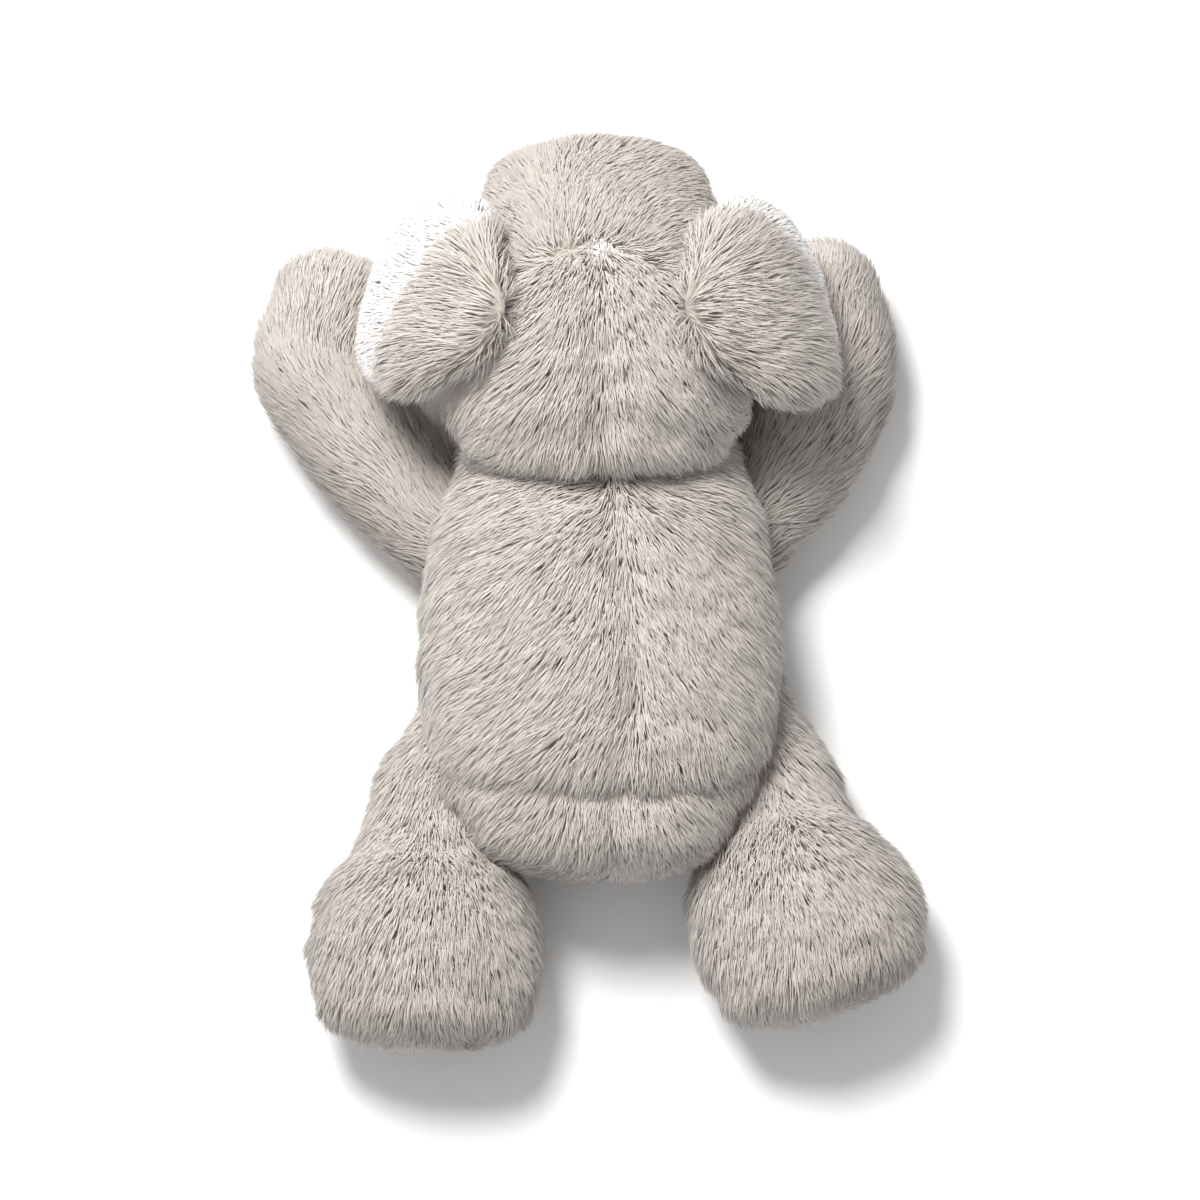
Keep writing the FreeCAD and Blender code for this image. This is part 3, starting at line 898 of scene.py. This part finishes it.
def dress_arm(side, sign):
    route = ARM_ROUTE[side]
    level = np.cross(UP, np.array(route[-1], float) - route[0])
    skin = make_limb("arm_skin_" + side, route, ARM_SIZES, unit(level), ARM_CAPS, seed=30.0 * sign)
    strands = comb(skin, limb_flow(route, 0.35), long_style, upper_density)
    upper = strands["roots"][:, 2] > ARM_SEAM_Z
    panels = {"arm_upper_pile_" + side: (upper, GREY, "arm_upper_panel_" + side),
              "arm_lower_pile_" + side: (~upper, GREY, "arm_lower_panel_" + side)}
    pivot = pivot_of("arm_swing_" + side)
    way = unit(np.array(route[2], float) - route[1])
    bend = ("torso", pivot - way * 10, pivot + way * 16)
    attach([skin] + pile_pieces(strands, panels), "arm_" + side, bend)
    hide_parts("arm_stuffing_" + side)


def dress_leg(side, sign):
    route = LEG_ROUTE[side]
    level = np.cross(UP, np.array(route[-1], float) - route[0])
    skin = make_limb("leg_skin_" + side, route, LEG_SIZES, unit(level), LEG_CAPS, seed=50.0 * sign)
    way = unit(np.array(route[-1], float) - route[-2])
    sole_at = np.array(route[-1], float) + way * SOLE_PAST_END
    push(skin, lambda at, out: valley((at - sole_at) @ way, 2.4, 0.6))
    strands = comb(skin, limb_flow(route, 0.45), long_style, upper_density)
    at = strands["roots"]
    sole = (at - sole_at) @ way > 0
    upper = ~sole & (at[:, 2] > LEG_SEAM_Z)
    panels = {"leg_upper_pile_" + side: (upper, GREY, "leg_upper_panel_" + side),
              "leg_lower_pile_" + side: (~sole & ~upper, GREY, "leg_lower_panel_" + side),
              "sole_pile_" + side: (sole, SHADED_SMOOTH_GREY, "foot_sole_" + side)}
    pivot = pivot_of("leg_swing_" + side)
    run = unit(np.array(route[1], float) - route[0])
    bend = ("torso", pivot - run * 10, pivot + run * 18)
    attach([skin] + pile_pieces(strands, panels), "leg_" + side, bend)
    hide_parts("leg_stuffing_" + side)


# ---------------------------------------------------------------- ears

# reach from the root, lift off the head, half length, half thickness
EAR_ROWS = [(-3, 5.0, 12, 4.0), (5, 6.5, 20, 5.5), (15, 7.4, 27.5, 7.6), (27, 6.0, 31.5, 9.4),
            (38, 3.0, 30.5, 10.4), (48, -1.5, 25, 9.6)]
# The lining wraps round the rim: from the first reach at the front, plus the second further back.
WHITE_FROM = {"left": (12.0, 11.0), "right": (13.0, 29.0)}
WHITE_START = -30.0     # along the root, where the border begins to move outward
WHITE_RUN = 12.0        # how soon it reaches its full width
EAR_CAPS = (3.0, 8.5)
EAR_DROP = 6.2          # the backing lies this much nearer the head than the rows say
EAR_INSET = 1.0


def ear_frame(side):
    """The root's middle, the way along it, outward and off the head, from the hinge and the frame's box."""
    joint = JOINTS["ear_flap_" + side]
    root = pivot_of("ear_flap_" + side)
    along = unit(np.array(joint["axis"], float))
    if along[1] > 0:
        along = -along
    low, high = box_of("ear_back_" + side)
    outward = 0.5 * (low + high) - root
    outward = unit(outward - along * (outward @ along))
    away = np.cross(along, outward)
    if away[2] < 0:
        away = -away
    return root, along, outward, away


def ear_places(side, points):
    """Where points lie in an ear's own directions: along its root, outward, and off the head."""
    root, along, outward, away = ear_frame(side)
    local = points - root
    return local @ along, local @ outward, local @ away


def dress_ear(side, sign):
    root, along, outward, away = ear_frame(side)
    route = [root + outward * reach + away * (lift - EAR_DROP) for reach, lift, _, _ in EAR_ROWS]
    sizes = [(half, thick - EAR_INSET) for _, _, half, thick in EAR_ROWS]
    points, faces = ring_form(route, sizes, along, EAR_CAPS, blunt=2.2, square=2.3, rings=60, around=84)
    skin = skin_object("ear_skin_" + side, points, faces, BACKING)

    def past_border(u, v):
        """How far a place is past the border of the white lining."""
        front, more = WHITE_FROM[side]
        return v - front - more * (1 - np.exp(-np.maximum(u - WHITE_START, 0) / WHITE_RUN))

    def white_amount(at):
        u, v, w = ear_places(side, at)
        rim = past_border(u, v)
        return np.where(w < -1.0, 1.0, step(-1.5, 1.5, rim)) * step(8, 12, v)

    def relief(at, out):
        u, v, w = ear_places(side, at)
        rim = past_border(u, v)
        return (0.9 * LUMPS(at + 70 * sign) + 0.5 * RIPPLE(at) + valley(rim, 3.0, 1.8) * (w > 0)
                + valley(v - 4, 5.0, 1.5) * (w > 0))

    puff(skin, lambda at: np.abs(ear_places(side, at)[2]) < 0.8, cap=3.0)
    push(skin, relief)
    soften(skin, 2)

    def flow(at, out):
        u = ear_places(side, at)[0]
        return outward + along * (0.35 + 0.02 * u)[:, None] + [0, 0, -0.25]

    def style(at, out):
        length, rise, tip_rise = long_style(at, out)
        white = white_amount(at)
        return length * (1 - 0.5 * white), rise * (1 - 0.15 * white), tip_rise * (1 - 0.1 * white)

    strands = comb(skin, flow, style, lambda at, out: np.ones(len(at)))
    white = white_amount(strands["roots"]) > 0.5
    panels = {"ear_back_pile_" + side: (~white, GREY, "ear_back_" + side),
              "ear_lining_pile_" + side: (white, WHITE, "ear_lining_" + side)}
    bend = ("head", root - outward * 4, root + outward * 12)
    attach([skin] + pile_pieces(strands, panels), "ear_" + side, bend)
    skin.data.materials.append(WHITE_BACKING)
    centres = np.empty(len(skin.data.polygons) * 3)
    skin.data.polygons.foreach_get("center", centres)
    pale = white_amount(centres.reshape(-1, 3) / MM) > 0.5
    skin.data.polygons.foreach_set("material_index", pale.astype(np.int32))
    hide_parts("ear_wadding_" + side)


# ---------------------------------------------------------------- room, light and camera

VIEW_ELEVATION = 82.0
VIEW_DISTANCE = 1.9
VIEW_SPAN = 0.375       # width of what the camera sees, at the toy's middle height
VIEW_TARGET = (0.0, -0.0075, 0.040)
SENSOR_WIDTH = 36       # of the camera, in millimetres
LIGHT_TARGET = (0, 0, 0.03)
WORLD_LIGHT = 0.45


def floor():
    bpy.ops.mesh.primitive_plane_add(size=6.0, location=(0, 0, 0))
    plane = bpy.context.object
    plane.name = "studio_floor"
    made, _, _, shader = material("studio_floor")
    shader.inputs["Base Color"].default_value = (0.93, 0.93, 0.93, 1)
    shader.inputs["Roughness"].default_value = 0.9
    shader.inputs["Specular IOR Level"].default_value = 0.1
    plane.data.materials.append(made)


def area_light(name, place, size, power, colour):
    data = bpy.data.lights.new(name, "AREA")
    data.shape = "DISK"
    data.size = size
    data.energy = power
    data.color = colour
    lamp = bpy.data.objects.new(name, data)
    lamp.location = place
    lamp.rotation_euler = (Vector(LIGHT_TARGET) - Vector(place)).to_track_quat("-Z", "Y").to_euler()
    bpy.context.collection.objects.link(lamp)


def camera():
    data = bpy.data.cameras.new("camera")
    data.sensor_width = SENSOR_WIDTH
    data.lens = SENSOR_WIDTH * VIEW_DISTANCE / VIEW_SPAN
    data.dof.use_dof = False
    rise = math.radians(VIEW_ELEVATION)
    offset = Vector((0, -math.cos(rise), math.sin(rise))) * VIEW_DISTANCE
    eye = bpy.data.objects.new("camera", data)
    eye.location = Vector(VIEW_TARGET) + offset
    eye.rotation_euler = (-offset).to_track_quat("-Z", "Y").to_euler()
    bpy.context.collection.objects.link(eye)
    bpy.context.scene.camera = eye


def studio():
    floor()
    area_light("key", place=(-0.44, 0.76, 1.50), size=0.6, power=36, colour=(1.0, 0.985, 0.965))
    area_light("fill", place=(-0.4, -1.1, 1.3), size=1.2, power=3, colour=(0.98, 0.98, 1.0))
    world = bpy.data.worlds.new("studio")
    world.use_nodes = True
    background = world.node_tree.nodes["Background"]
    background.inputs["Color"].default_value = (1, 1, 1, 1)
    background.inputs["Strength"].default_value = WORLD_LIGHT
    bpy.context.scene.world = world
    bpy.context.scene.view_settings.view_transform = "Standard"
    camera()


dress_torso()
dress_head()
dress_trunk()
for side_name, side_sign in (("left", -1), ("right", 1)):
    dress_arm(side_name, side_sign)
    dress_leg(side_name, side_sign)
    dress_ear(side_name, side_sign)
studio()
